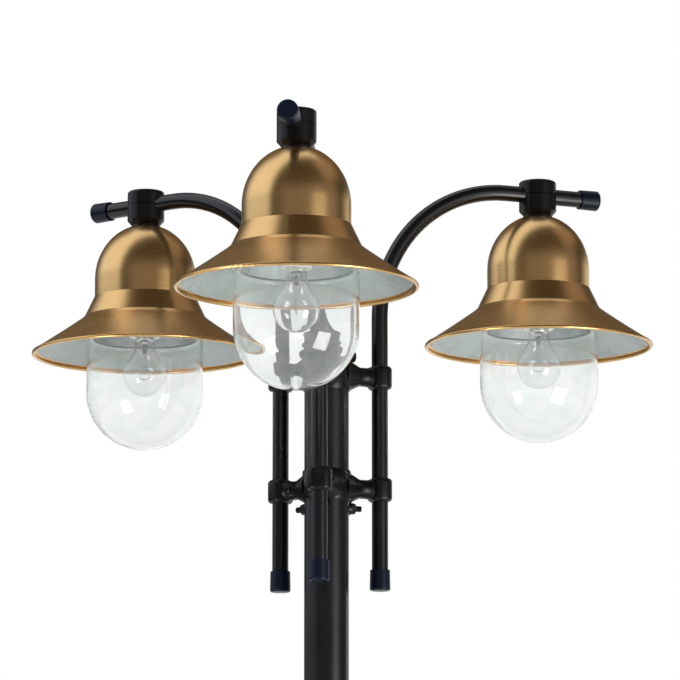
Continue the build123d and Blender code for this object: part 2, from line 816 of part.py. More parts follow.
def build():
    """Every node by name."""
    nodes = {
        "foot_flange": make_foot(),
        "mast_tube": make_mast(),
        "mast_finial": make_finial(),
        "upper_bracket": make_upper_bracket(),
        "lower_bracket": make_lower_bracket(),
        "upper_grub_screws": as_compound(make_grub_screws()),
        "lower_set_bolts": as_compound(make_set_bolts()),
        "stub_screws": as_compound(make_stub_screws()),
    }
    arm_pieces = {
        "arm_tube": make_arm_tube(),
        "arm_lower_cap": make_lower_cap(),
        "arm_outer_cap": make_outer_cap(),
    }
    clamp_pieces = {
        "clamp_cap": make_clamp_cap(),
        "clamp_body": make_clamp_body(),
        "clamp_screws": as_compound(make_clamp_screws()),
    }
    head_pieces = {
        "shade_dome": make_dome(),
        "shade_skirt": make_skirt(),
        "shade_reflector": make_reflector(),
        "globe_carrier": make_carrier(),
        "globe_gasket": make_gasket(),
        "lamp_holder": make_holder(),
        "holder_nipple": as_compound(make_nipple()),
        "glass_globe": make_globe(),
        "bulb_glass": as_compound(make_bulb_glass()),
        "bulb_cap": make_bulb_cap(),
        "bulb_filament": make_filament(),
    }
    for side, azimuth in arm_azimuths.items():
        turn = Rot(0, 0, azimuth)
        for name, piece in arm_pieces.items():
            nodes[f"{name}_{side}"] = turn * piece
        for name, piece in clamp_pieces.items():
            nodes[f"{name}_{side}"] = turn * Pos(head_circle_radius, 0, arm_z) * piece
        for name, piece in head_pieces.items():
            nodes[f"{name}_{side}"] = turn * Pos(head_circle_radius, 0, rim_z) * piece
    return nodes


os.makedirs("parts", exist_ok=True)
for node_name, node_shape in build().items():
    export_step(node_shape, f"parts/{node_name}.step")
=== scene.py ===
import json
import math

import bmesh
import bpy
from mathutils import Matrix, Vector


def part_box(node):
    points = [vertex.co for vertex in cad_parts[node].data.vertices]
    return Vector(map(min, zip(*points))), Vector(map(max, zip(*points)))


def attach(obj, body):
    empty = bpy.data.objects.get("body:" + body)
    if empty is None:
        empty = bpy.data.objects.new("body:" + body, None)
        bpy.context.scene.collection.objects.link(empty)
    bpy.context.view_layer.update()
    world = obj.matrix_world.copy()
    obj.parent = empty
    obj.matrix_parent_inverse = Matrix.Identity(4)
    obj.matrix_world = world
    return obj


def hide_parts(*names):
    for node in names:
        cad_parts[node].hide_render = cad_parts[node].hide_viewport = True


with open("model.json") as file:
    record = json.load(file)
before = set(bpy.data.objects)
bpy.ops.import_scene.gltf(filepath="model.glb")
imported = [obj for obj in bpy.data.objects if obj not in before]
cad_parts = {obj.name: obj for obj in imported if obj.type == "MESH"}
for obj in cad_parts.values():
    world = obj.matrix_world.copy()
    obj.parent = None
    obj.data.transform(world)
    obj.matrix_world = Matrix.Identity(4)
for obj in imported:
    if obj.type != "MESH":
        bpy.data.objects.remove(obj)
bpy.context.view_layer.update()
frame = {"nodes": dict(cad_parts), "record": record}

# Triple head lamp post in metres, in the frame's own axes: +Z up, the front arm towards -Y.
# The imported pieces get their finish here. Brackets, set bolts, stub screws, domes, clamp necks,
# bulb caps and filaments are finer meshes that stand for the plain packed ones, or fit over them.

MILLIMETRE = 0.001
HEADS = ("front", "right", "left")

# ---------------------------------------------------------------- camera and studio
CAMERA_PLACE = (0.7163, -5.7962, 1.0732)
CAMERA_PITCH = 10.081  # degrees above level
CAMERA_TURN = 6.869  # degrees to the left of +Y
CAMERA_LENS = 232.94
CAMERA_SENSOR = 36.0

ROOM_LIGHT = 0.5  # what matt surfaces get from the room
ROOM_FRONT = 0.055  # what gloss shows of the room on the camera's side
ROOM_CEILING = 0.06  # what gloss shows of its ceiling
CEILING_COLOUR = (1.0, 0.78, 0.5, 1.0)
STUDIO_AIM = (0.0, 0.0, 2.12)  # middle of the heads

# Large far softboxes, as patches of the room. All angles are in degrees, round from the camera's
# side (left is negative) and above level, and every pair is where an edge starts and ends.
KEY_LEAN = (-147.0, 3.0)  # the side of a leaning plane on which the key lies
KEY_EDGE = (-0.08, 0.14)
KEY_BACK = (-148.0, -112.0)
KEY_LOW = (4.0, 13.0)
KEY_OVERHEAD = (52.0, 70.0)
KEY_RADIANCE = 1.12
KEY_COLOUR = (0.98, 1.04, 1.18, 1.0)
FILL_LEFT = (-52.0, -16.0)
FILL_RIGHT = (112.0, 84.0)
FILL_TOP = (44.0, 14.0)
FILL_LOW = (-24.0, -4.0)
FILL_RADIANCE = 0.2
FILL_COLOUR = (1.0, 0.86, 0.94, 1.0)
REAR_SIDE = (118.0, 160.0)
REAR_TOP = (78.0, 52.0)
REAR_LOW = (14.0, 30.0)
REAR_RADIANCE = 0.08
REAR_COLOUR = (1.0, 0.70, 0.40, 1.0)
WARM_LEFT = (58.0, 92.0)
WARM_RIGHT = (152.0, 124.0)
WARM_TOP = (74.0, 56.0)
WARM_LOW = (26.0, 42.0)
WARM_RADIANCE = 0.3
WARM_COLOUR = (1.0, 0.80, 0.80, 1.0)

STRIP_LEFT = (28.0, 40.0)
STRIP_RIGHT = (70.0, 60.0)
STRIP_TOP = (13.0, 7.0)
STRIP_LOW = (-16.0, -6.0)
STRIP_RADIANCE = 1.1

# The bright backdrop behind the post, as gloss shows it. Pairs are parts of a unit direction.
BACKDROP_DEPTH = (0.35, 0.85)
BACKDROP_TOP = (0.12, 0.36)
BACKDROP_SIDE = (-0.45, 0.05)
BACKDROP_LEFT_LEVEL = 0.08  # how bright it still is on the left
CEILING_START = (0.72, 0.92)
CEILING_TINT = (0.3, 0.6)

# Two small lamps that matt surfaces don't see. name: (degrees round from the camera's side,
#                                                      degrees above level, width, height)
WINDOWS = {
    "window_left": (-50.0, -34.0, 0.66, 0.95),
    "window_right": (49.0, -27.0, 1.05, 1.2),
}
WINDOW_DISTANCE = 2.4
WINDOW_RADIANCE = 8.0

FLOOR_RADIUS = 6.0
FLOOR_FADE = (1.4, FLOOR_RADIUS * 0.8)  # where the floor fades into the white room
FLOOR_COLOUR = (0.86, 0.86, 0.85, 1.0)
WHITE = (1.0, 1.0, 1.0, 1.0)


# ---------------------------------------------------------------- node materials
class Shader:
    """A node tree under construction. Its methods add nodes and hand back their outputs."""

    def __init__(self, owner):
        owner.use_nodes = True
        self.owner = owner
        self.tree = owner.node_tree
        self.tree.nodes.clear()

    def add(self, kind, **settings):
        node = self.tree.nodes.new("ShaderNode" + kind)
        for name, value in settings.items():
            setattr(node, name, value)
        return node

    def feed(self, socket, value):
        if isinstance(value, bpy.types.NodeSocket):
            self.tree.links.new(value, socket)
        else:
            socket.default_value = value

    def place(self):
        """Where a point lies on its piece, in metres and at rest."""
        return self.add("TexCoord").outputs["Object"]

    def math(self, operation, *values):
        node = self.add("Math", operation=operation)
        for socket, value in zip(node.inputs, values):
            self.feed(socket, value)
        return node.outputs[0]

    def vector(self, operation, *values, output="Vector"):
        node = self.add("VectorMath", operation=operation)
        for socket, value in zip(node.inputs, values):
            self.feed(socket, value)
        return node.outputs[output]

    def join(self, x, y, z):
        node = self.add("CombineXYZ")
        for socket, value in zip(node.inputs, (x, y, z)):
            self.feed(socket, value)
        return node.outputs[0]

    def split(self, vector):
        node = self.add("SeparateXYZ")
        self.feed(node.inputs[0], vector)
        return node.outputs

    def noise(self, place, scale, detail=3.0, roughness=0.5):
        node = self.add("TexNoise")
        self.feed(node.inputs["Vector"], place)
        node.inputs["Scale"].default_value = scale
        node.inputs["Detail"].default_value = detail
        node.inputs["Roughness"].default_value = roughness
        return node.outputs["Fac"]

    def spread(self, value, low, high, start=0.3, end=0.7):
        """Maps start..end to low..high, smoothly and held at both ends."""
        node = self.add("MapRange", interpolation_type="SMOOTHSTEP")
        for name, number in (("Value", value), ("From Min", start), ("From Max", end),
                             ("To Min", low), ("To Max", high)):
            self.feed(node.inputs[name], number)
        return node.outputs["Result"]

    def mix(self, factor, first, second):
        node = self.add("Mix", data_type="RGBA")
        self.feed(node.inputs[0], factor)
        self.feed(node.inputs[6], first)
        self.feed(node.inputs[7], second)
        return node.outputs[2]

    def bump(self, height, distance):
        node = self.add("Bump")
        self.feed(node.inputs["Height"], height)
        node.inputs["Distance"].default_value = distance
        return node.outputs["Normal"]

    def principled(self, **inputs):
        """A principled surface. Input names are written with _ for a space."""
        node = self.add("BsdfPrincipled")
        for name, value in inputs.items():
            self.feed(node.inputs[name.replace("_", " ")], value)
        return node.outputs["BSDF"]

    def blend(self, factor, first, second):
        node = self.add("MixShader")
        for socket, value in zip(node.inputs, (factor, first, second)):
            self.feed(socket, value)
        return node.outputs[0]

    def show(self, surface, output="OutputMaterial"):
        self.feed(self.add(output).inputs["Surface"], surface)
        return self.owner


def new_shader(name):
    return Shader(bpy.data.materials.new(name))


def tone(red, green, blue):
    return (red, green, blue, 1.0)


def powder_coat(name, gloss, roughness, peel_depth):
    """Satin black powder coat with a fine orange peel."""
    s = new_shader(name)
    place = s.place()
    cloud = s.noise(place, 9.0, 2.0)
    peel = s.noise(place, 650.0, 2.0)
    dust = s.noise(place, 2600.0, 1.0)
    colour = s.mix(
        s.spread(cloud, 0.0, 1.0), tone(0.0028, 0.0028, 0.003), tone(0.0055, 0.0055, 0.0058))
    rough = s.math(
        "ADD", s.spread(cloud, 0.0, 0.07), s.spread(dust, roughness, roughness + 0.05))
    return s.show(s.principled(
        Base_Color=colour,
        Roughness=rough,
        IOR=1.5,
        Specular_IOR_Level=gloss,
        Normal=s.bump(peel, peel_depth),
    ))


def cap_plastic():
    """Blue-black moulded plastic of the tube caps, with a fine grain."""
    s = new_shader("blue_black_plastic")
    place = s.place()
    cloud = s.noise(place, 40.0, 2.0)
    grain = s.noise(place, 1500.0, 2.0)
    colour = s.mix(
        s.spread(cloud, 0.0, 1.0), tone(0.0012, 0.0040, 0.018), tone(0.0020, 0.0062, 0.030))
    return s.show(s.principled(
        Base_Color=colour,
        Roughness=s.spread(grain, 0.3, 0.42),
        IOR=1.5,
        Specular_IOR_Level=0.25,
        Normal=s.bump(grain, 0.00003),
    ))


def head_axis(head):
    low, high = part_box("shade_dome_" + head)
    return (low + high) / 2


def brushed_brass(head):
    """Spun and brushed brass: fine lines round the head's axis, and slow changes of tone."""
    s = new_shader("brushed_brass_" + head)
    axis = head_axis(head)
    place = s.vector("SUBTRACT", s.place(), (axis.x, axis.y, 0.0))
    x, y, z = s.split(place)
    radius = s.math("SQRT", s.math("ADD", s.math("MULTIPLY", x, x), s.math("MULTIPLY", y, y)))
    turn = s.math("ARCTAN2", y, x)
    lines_place = s.join(s.math("MULTIPLY", turn, 1.2), s.math("MULTIPLY", radius, 900.0),
                         s.math("MULTIPLY", z, 900.0))
    lines = s.noise(lines_place, 1.0, 3.0, 0.6)
    bands_place = s.join(s.math("MULTIPLY", turn, 0.5), s.math("MULTIPLY", radius, 90.0),
                         s.math("MULTIPLY", z, 90.0))
    bands = s.noise(bands_place, 1.0, 2.0)
    cloud = s.noise(place, 14.0, 3.0)
    colour = s.mix(s.spread(cloud, 0.0, 1.0), tone(0.69, 0.43, 0.17), tone(0.73, 0.47, 0.195))
    colour = s.mix(s.spread(bands, 0.0, 0.06), colour, tone(0.56, 0.32, 0.12))
    colour = s.mix(s.spread(lines, 0.0, 0.05), colour, tone(0.80, 0.53, 0.24))
    rough = s.math("ADD", s.spread(lines, 0.25, 0.265), s.spread(cloud, 0.0, 0.02))
    around = s.vector("NORMALIZE", s.vector("CROSS_PRODUCT", (0.0, 0.0, 1.0), place))
    tangent = s.add(
        "VectorTransform", vector_type="VECTOR", convert_from="OBJECT", convert_to="WORLD")
    s.feed(tangent.inputs[0], around)
    return s.show(s.principled(
        Base_Color=colour,
        Metallic=1.0,
        Roughness=rough,
        Anisotropic=0.4,
        Anisotropic_Rotation=0.25,
        Tangent=tangent.outputs[0],
    ))


def pale_enamel():
    """Pale grey-green stove enamel inside the shades."""
    s = new_shader("pale_enamel")
    place = s.place()
    cloud = s.noise(place, 16.0, 3.0)
    peel = s.noise(place, 420.0, 2.0)
    colour = s.mix(s.spread(cloud, 0.0, 1.0), tone(0.37, 0.41, 0.385), tone(0.43, 0.465, 0.44))
    return s.show(s.principled(
        Base_Color=colour,
        Roughness=s.spread(cloud, 0.24, 0.34),
        IOR=1.5,
        Normal=s.bump(peel, 0.00003),
    ))


def cast_aluminium():
    """Bright casting with a grainy skin."""
    s = new_shader("cast_aluminium")
    place = s.place()
    cloud = s.noise(place, 60.0, 3.0)
    skin = s.noise(place, 900.0, 3.0, 0.6)
    colour = s.mix(s.spread(cloud, 0.0, 1.0), tone(0.52, 0.53, 0.54), tone(0.66, 0.67, 0.68))
    return s.show(s.principled(
        Base_Color=colour,
        Metallic=1.0,
        Roughness=s.spread(skin, 0.38, 0.55),
        Normal=s.bump(skin, 0.00006),
    ))


def clear_glass(name, tint, clearness, wave_scale, wave_depth):
    """Glass with a slight wave in its surface and a breath of haze. Lamps shine through it."""
    s = new_shader(name)
    place = s.place()
    wave = s.noise(place, wave_scale, 2.0)
    film = s.noise(place, 30.0, 4.0)
    colour = s.mix(s.spread(film, 0.0, 1.0), tint, WHITE)
    glass = s.principled(
        Base_Color=colour,
        Roughness=s.spread(film, 0.0, 0.02),
        IOR=1.5,
        Transmission_Weight=clearness,
        Normal=s.bump(wave, wave_depth),
    )
    through = s.add("BsdfTransparent")
    through.inputs["Color"].default_value = tone(0.94, 0.95, 0.945)
    shadow_ray = s.add("LightPath").outputs["Is Shadow Ray"]
    return s.show(s.blend(shadow_ray, glass, through.outputs[0]))


def plain_metal(name, dark, light, roughness, grain_scale):
    """Plated or drawn metal with a faint cloud in tone and gloss."""
    s = new_shader(name)
    place = s.place()
    cloud = s.noise(place, grain_scale, 3.0)
    fine = s.noise(place, grain_scale * 20.0, 2.0)
    return s.show(s.principled(
        Base_Color=s.mix(s.spread(cloud, 0.0, 1.0), dark, light),
        Metallic=1.0,
        Roughness=s.math("ADD", s.spread(fine, -0.05, 0.07), roughness),
        Normal=s.bump(fine, 0.00001),
    ))


def dull_solid(name, dark, light, roughness, grain_scale, grain_depth):
    """Porcelain or rubber: a faint cloud in tone and a fine skin."""
    s = new_shader(name)
    place = s.place()
    cloud = s.noise(place, 50.0, 2.0)
    grain = s.noise(place, grain_scale, 3.0)
    return s.show(s.principled(
        Base_Color=s.mix(s.spread(cloud, 0.0, 1.0), dark, light),
        Roughness=s.math("ADD", s.spread(grain, -0.05, 0.05), roughness),
        Normal=s.bump(grain, grain_depth),
    ))


MATERIALS = {
    "black_powder_coat": powder_coat("black_powder_coat", 0.5, 0.2, 0.00002),
    "black_casting": powder_coat("black_casting", 0.26, 0.24, 0.00006),
    "blue_black_plastic": cap_plastic(),
    "pale_enamel": pale_enamel(),
    "cast_aluminium": cast_aluminium(),
    "clear_glass": clear_glass("clear_glass", tone(0.93, 0.97, 0.955), 0.95, 14.0, 0.0006),
    "bulb_glass": clear_glass("bulb_glass", tone(0.97, 0.98, 0.98), 0.985, 40.0, 0.0001),
    "bulb_cap_metal": plain_metal(
        "bulb_cap_metal", tone(0.60, 0.58, 0.53), tone(0.78, 0.76, 0.71), 0.25, 90.0),
    "filament_wire": plain_metal(
        "filament_wire", tone(0.22, 0.22, 0.23), tone(0.4, 0.4, 0.4), 0.35, 300.0),
    "zinc_steel": plain_metal(
        "zinc_steel", tone(0.48, 0.50, 0.52), tone(0.68, 0.68, 0.66), 0.3, 120.0),
    "black_steel": plain_metal(
        "black_steel", tone(0.02, 0.02, 0.021), tone(0.04, 0.04, 0.042), 0.36, 120.0),
    "porcelain": dull_solid(
        "porcelain", tone(0.74, 0.73, 0.69), tone(0.82, 0.81, 0.77), 0.16, 300.0, 0.00002),
    "gasket_rubber": dull_solid(
        "gasket_rubber", tone(0.020, 0.020, 0.020), tone(0.032, 0.032, 0.031),
        0.6, 1800.0, 0.00004),
}
BRASS = {head: brushed_brass(head) for head in HEADS}
CASTINGS = ("upper_bracket", "lower_bracket", "clamp_cap", "clamp_body")


def finish_of(node, slot_name):
    if slot_name == "brushed_brass":
        return BRASS[node.rsplit("_", 1)[1]]
    if node.startswith(CASTINGS):
        return MATERIALS["black_casting"]
    return MATERIALS[slot_name]


def dress_nodes():
    """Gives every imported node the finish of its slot."""
    for part in frame["record"]["subparts"]:
        shown = frame["nodes"][part["node"]]
        shown.data.materials.clear()
        shown.data.materials.append(finish_of(part["node"], part["material_slot"]))


# ---------------------------------------------------------------- finer pieces
# All sizes in this section are in millimetres, and outlines are (radius, height) corners.
ARM_TURNS = {"front": -90.0, "right": 30.0, "left": 150.0}
HEAD_CIRCLE = 317.0  # post axis to the head axes
ARM_LEVEL = 2336.0
RIM_LEVEL = 2122.5
SIDES = 96

STUB_LEVELS = {"lower": 1911.0, "upper": 2064.0}
STUB_RADIUS = 12.8
STUB_ROOT = 21.0  # post axis to the start of the stubs, inside the collar
STUB_BLEND = [(STUB_RADIUS, 59.0), (14.8, 65.0), (0.0, 65.0)]  # into the sleeve
TRUMPET_RADIUS = 27.5  # at the root
TRUMPET_LENGTH = 26.5
TRUMPET_HOLLOW = 2.4
TRUMPET_STEPS = 12
COLLAR = [(30.2, -19.0), (31.4, -19.0), (32.6, -17.0), (32.6, 20.5), (31.4, 22.5), (30.2, 22.5)]
SLEEVE_PLACE = 78.0  # post axis to the arm tubes
SLEEVE_SIZE = (30.0, 34.0, 13.0)  # along the arm, across it, and the corner radius
SLEEVE_REACH = 16.0  # stub axis to either end
SLEEVE_ROUNDING = 5.5
SLEEVE_BORE = 11.05
ROUNDING_STEPS = 8

BOLT_SEAT = 34.5  # post axis to the seat of the lock nuts
BOLT_DROP = 27.0  # stub axis to the bolts
BOLT_ROOT = 31.0
BOLT_RADIUS = 4.0
BOLT_CHAMFER = (3.3, 0.6)  # end radius, length
BOLT_THREAD = (0.45, 1.25)  # depth, pitch
BOLT_TIPS = {"lower": 9.0, "upper": -0.6}  # beyond the lock nut
BOLT_NODES = {"lower": "lower_set_bolts", "upper": "upper_grub_screws"}
BOLT_BOSS = [(0.0, 20.0), (9.0, 20.0), (9.0, BOLT_SEAT - 0.6), (8.4, BOLT_SEAT), (0.0, BOLT_SEAT)]
KEY_FLATS = 4.0
KEY_DEPTH = 4.0
NUT_FLATS = 13.0
NUT_HEIGHT = 6.5
NUT_BORE = 4.1
NUT_FACE = 0.96  # share of the flats that the flat face keeps
NUT_SLOPE = 0.58  # of the cone that takes the corners off

SCREW_PLACE = 53.8  # post axis to the stub screws
SCREW_SEAT = 14.4  # stub axis to the seat of the stub screws
SCREW_BOSS = [(0.0, 0.0), (8.5, 0.0), (8.5, SCREW_SEAT - 0.6), (7.9, SCREW_SEAT),
              (0.0, SCREW_SEAT)]
SCREW_RADIUS = 5.25
SCREW_BRIM = 0.5
SCREW_DOME = 2.7
RECESS_EDGE = 0.5
RECESS_DEPTH = 1.6

DOME_RADIUS = 70.5
DOME_CROWN = 78.0  # height of the half ellipse
DOME_TOP = 182.5  # all heights of the shade are above its rim
DOME_FLAT = 20.5  # radius of the flat top
DOME_HOLE = 17.02
DOME_EDGE = 82.0
DOME_SHEET = 1.0
CLAMP_NECK = [(16.5, -20.6), (25.77, -20.6), (25.77, -22.0), (20.0, -28.5), (20.0, -31.4),
              (16.5, -31.4)]

CAP_MOUTH = 21.0
CAP_LIP = [(12.6, 0.0), (13.0, 0.6)]  # from the mouth up
CAP_RADIUS = 13.0
CAP_HEIGHT = 18.0
CAP_THREAD = (1.1, 3.6)  # depth, pitch
CAP_THREAD_START = 3.0
CAP_CONTACT = [(5.0, 6.0), (5.0, 7.5), (4.2, 9.0), (0.0, 9.0)]  # from the cap's top up
STEM_TIP = -15.0
LEAD_TIP = -31.0
LEAD_SPREAD = 8.9
COIL_RADIUS = 0.55
COIL_TURNS = 38
COIL_STEPS = 12
COIL_SAG = 2.2
COIL_WIRE = 0.11
LEAD_WIRE = 0.32
HOLDER_WIRE = 0.12

OUTWARDS = Matrix.Rotation(math.radians(90.0), 4, "Y")
SIDEWAYS = Matrix.Rotation(math.radians(-90.0), 4, "X")


def polar(radius, angle, height):
    return (radius * math.cos(angle), radius * math.sin(angle), height)


def circle(radius, height, sides=SIDES):
    return [polar(radius, 2 * math.pi * i / sides, height) for i in range(sides)]


def lofted(rings):
    """Corners and faces of a skin through rings of equal count, from the last back to the first."""
    count = len(rings[0])
    corners = [corner for ring in rings for corner in ring]
    faces = []
    for k in range(len(rings)):
        here, after = k * count, (k + 1) % len(rings) * count
        faces += [(here + i, here + (i + 1) % count, after + (i + 1) % count, after + i)
                  for i in range(count)]
    return corners, faces


def turned(profile, sides=SIDES):
    """Skin of an outline turned round the Z axis."""
    return lofted([circle(radius, height, sides) for radius, height in profile])


def rounded_ring(width, depth, corner, inset, height):
    """Rounded rectangle, drawn in by inset, with as many points as a circle has."""
    ring = []
    for i in range(SIDES):
        angle = 2 * math.pi * (i + 0.5) / SIDES
        x, y = math.cos(angle), math.sin(angle)
        ring.append((math.copysign(width / 2 - corner, x) + (corner - inset) * x,
                     math.copysign(depth / 2 - corner, y) + (corner - inset) * y, height))
    return ring


def threaded(radius, depth, pitch, start, end, sides, steps=10):
    """Rings of a round thread that runs out at both ends."""
    count = max(2, round((end - start) / pitch * steps))
    rings = []
    for k in range(count + 1):
        height = start + (end - start) * k / count
        deep = depth * min(1.0, (height - start) / pitch, (end - height) / pitch)
        rings.append([])
        for i in range(sides):
            wave = 0.5 - 0.5 * math.cos(2 * math.pi * (height / pitch - i / sides))
            rings[-1].append(polar(radius - deep * wave, 2 * math.pi * i / sides, height))
    return rings


def wire(path, radius, sides=8):
    """Rings of a round wire along a path, closed at both ends."""
    points = [Vector(point) for point in path]
    last = points[1] - points[0]
    turn = last.to_track_quat("Z", "Y")
    rings = []
    for k, point in enumerate(points):
        ahead = points[min(k + 1, len(points) - 1)] - points[max(k - 1, 0)]
        turn = last.rotation_difference(ahead) @ turn
        last = ahead
        radii = [radius]
        if k == 0:
            radii = [0.0, radius]
        elif k == len(points) - 1:
            radii = [radius, 0.0]
        for r in radii:
            rings.append([tuple(point + turn @ Vector(corner)) for corner in circle(r, 0.0, sides)])
    return rings


def hexagon_radius(flats, angle):
    return flats / 2 / math.cos((angle + math.pi / 6) % (math.pi / 3) - math.pi / 6)


def nut_rings(flats, bottom, top, bore):
    """Hexagon nut with its corners taken off by a cone at both ends."""
    angles = [2 * math.pi * i / SIDES for i in range(SIDES)]
    full = [hexagon_radius(flats, angle) for angle in angles]
    face = NUT_FACE * flats / 2
    cut = [(r - face) * NUT_SLOPE for r in full]

    def ring(radii, heights):
        return [polar(r, a, h) for r, a, h in zip(radii, angles, heights)]

    return [
        circle(bore, bottom), circle(face, bottom),
        ring(full, [bottom + c for c in cut]), ring(full, [top - c for c in cut]),
        circle(face, top), circle(bore, top),
    ]


def piece(name, parts, body, material, nodes=(), sharp=32.0):
    """A mesh of (corners, faces, matrix) parts in millimetres that rides on a body."""
    shape = bmesh.new()
    for corners, faces, matrix in parts:
        points = [shape.verts.new(MILLIMETRE * (matrix @ Vector(corner))) for corner in corners]
        for face in faces:
            shape.faces.new([points[i] for i in face])
    bmesh.ops.remove_doubles(shape, verts=shape.verts, dist=1e-7)
    loose = [edge for edge in shape.edges if not edge.link_faces]
    bmesh.ops.delete(shape, geom=loose, context="EDGES")
    bmesh.ops.recalc_face_normals(shape, faces=shape.faces)
    mesh = bpy.data.meshes.new(name)
    shape.to_mesh(mesh)
    shape.free()
    mesh.shade_smooth()
    mesh.set_sharp_from_angle(angle=math.radians(sharp))
    mesh.materials.append(material)
    made = bpy.data.objects.new(name, mesh)
    bpy.context.scene.collection.objects.link(made)
    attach(made, body)
    if nodes:
        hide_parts(*nodes)


def on_arm(arm, x=0.0, z=0.0):
    turn = Matrix.Rotation(math.radians(ARM_TURNS[arm]), 4, "Z")
    return turn @ Matrix.Translation((x, 0.0, z))


def on_bracket(level):
    """The stub axis of a bracket, with its bolts below. The upper bracket is upside down."""
    up = -1.0 if level == "upper" else 1.0
    return Matrix.Translation((0.0, 0.0, STUB_LEVELS[level])) @ Matrix.Diagonal((1.0, 1.0, up, 1.0))


def make_bracket(level):
    """Collar, trumpet stubs, arm sleeves and bosses of one bracket."""
    base = on_bracket(level)
    collar = turned(COLLAR)
    trumpet = []
    for i in range(TRUMPET_STEPS + 1):
        s = i / TRUMPET_STEPS
        radius = TRUMPET_RADIUS + (STUB_RADIUS - TRUMPET_RADIUS) * s - TRUMPET_HOLLOW * s * (1 - s)
        trumpet.append((radius, STUB_ROOT + TRUMPET_LENGTH * s))
    stub = turned([(0.0, STUB_ROOT)] + trumpet + STUB_BLEND)
    boss = turned(BOLT_BOSS, 64)
    flank = turned(SCREW_BOSS, 64)
    angles = [math.radians(90.0 * i / ROUNDING_STEPS) for i in range(ROUNDING_STEPS + 1)]
    edge = [(SLEEVE_ROUNDING * (1 - math.sin(a)),
             SLEEVE_ROUNDING * (1 - math.cos(a)) - SLEEVE_REACH) for a in angles]
    rings = [rounded_ring(*SLEEVE_SIZE, inset, height) for inset, height in edge]
    rings += [rounded_ring(*SLEEVE_SIZE, inset, -height) for inset, height in reversed(edge)]
    half_step = Matrix.Rotation(math.pi / SIDES, 4, "Z")
    bore = [[tuple(half_step @ Vector(corner)) for corner in circle(SLEEVE_BORE, height)]
            for height in (SLEEVE_REACH, -SLEEVE_REACH)]
    sleeve = lofted(rings + bore)
    parts = [(*collar, base)]
    for arm in ARM_TURNS:
        parts += [
            (*stub, base @ on_arm(arm) @ OUTWARDS),
            (*sleeve, base @ on_arm(arm, SLEEVE_PLACE)),
            (*boss, base @ on_arm(arm, z=-BOLT_DROP) @ OUTWARDS),
            (*flank, base @ on_arm(arm, SCREW_PLACE) @ SIDEWAYS),
        ]
    node = level + "_bracket"
    piece(node + "_casting", parts, "post", MATERIALS["black_casting"], [node])


def make_set_bolts(level):
    """Set bolts with a key hole each, and their lock nuts."""
    base = on_bracket(level)
    nut_top = BOLT_SEAT + NUT_HEIGHT
    end = nut_top + BOLT_TIPS[level]
    end_radius, chamfer = BOLT_CHAMFER
    nut = lofted(nut_rings(NUT_FLATS, BOLT_SEAT, nut_top, NUT_BORE))
    thread = threaded(BOLT_RADIUS, *BOLT_THREAD, BOLT_ROOT, end - chamfer, SIDES)
    angles = [2 * math.pi * i / SIDES for i in range(SIDES)]
    key_hole = [[polar(hexagon_radius(KEY_FLATS, angle), angle, height) for angle in angles]
                for height in (end, end - KEY_DEPTH)]
    floors = [circle(0.0, end - KEY_DEPTH), circle(0.0, BOLT_ROOT)]
    bolt = lofted(thread + [circle(end_radius, end)] + key_hole + floors)
    nut_turn = Matrix.Rotation(math.radians(30.0), 4, "Z")
    parts = []
    for arm in ARM_TURNS:
        turn = base @ on_arm(arm, z=-BOLT_DROP) @ OUTWARDS
        parts += [(*nut, turn @ nut_turn), (*bolt, turn)]
    piece(level + "_bolts_and_nuts", parts, "post", MATERIALS["black_steel"],
          [BOLT_NODES[level]])


def make_stub_screws():
    """Round-headed screws on the flanks of the stubs, each with a round recess."""
    dome = [(SCREW_RADIUS * math.cos(math.radians(a)),
             SCREW_SEAT + SCREW_BRIM + SCREW_DOME * math.sin(math.radians(a)))
            for a in range(0, 61, 10)]
    edge, top = dome[-1]
    recess = [(edge - RECESS_EDGE, top - RECESS_DEPTH), (0.0, top - RECESS_DEPTH)]
    screw = turned([(0.0, SCREW_SEAT), (SCREW_RADIUS, SCREW_SEAT)] + dome + recess, 48)
    parts = [(*screw, on_bracket(level) @ on_arm(arm, SCREW_PLACE) @ SIDEWAYS)
             for level in STUB_LEVELS for arm in ARM_TURNS]
    piece("stub_screw_heads", parts, "post", MATERIALS["black_steel"],
          ["stub_screws"])


def dome_outline(inset, steps=28):
    """Half ellipse of the dome with its flat top, from the lower edge up, drawn in by inset."""
    radius, crown, top = DOME_RADIUS - inset, DOME_CROWN - inset, DOME_TOP - inset
    centre = DOME_TOP - DOME_CROWN * math.sqrt(1 - (DOME_FLAT / DOME_RADIUS) ** 2)
    reach = math.acos(DOME_FLAT / DOME_RADIUS)
    angles = [reach * i / steps for i in range(steps + 1)]
    flank = [(radius * math.cos(a), min(top, centre + crown * math.sin(a))) for a in angles]
    return [(radius, DOME_EDGE)] + flank + [(DOME_HOLE, top)]


def make_head(head):
    """Shade dome, and the neck of the clamp above it."""
    dome = turned(dome_outline(0.0) + dome_outline(DOME_SHEET)[::-1], 160)
    piece("dome_" + head, [(*dome, on_arm(head, HEAD_CIRCLE, RIM_LEVEL))], "head_" + head,
          BRASS[head], ["shade_dome_" + head])
    neck = turned(CLAMP_NECK)
    piece("clamp_neck_" + head, [(*neck, on_arm(head, HEAD_CIRCLE, ARM_LEVEL))], "head_" + head,
          MATERIALS["black_casting"])


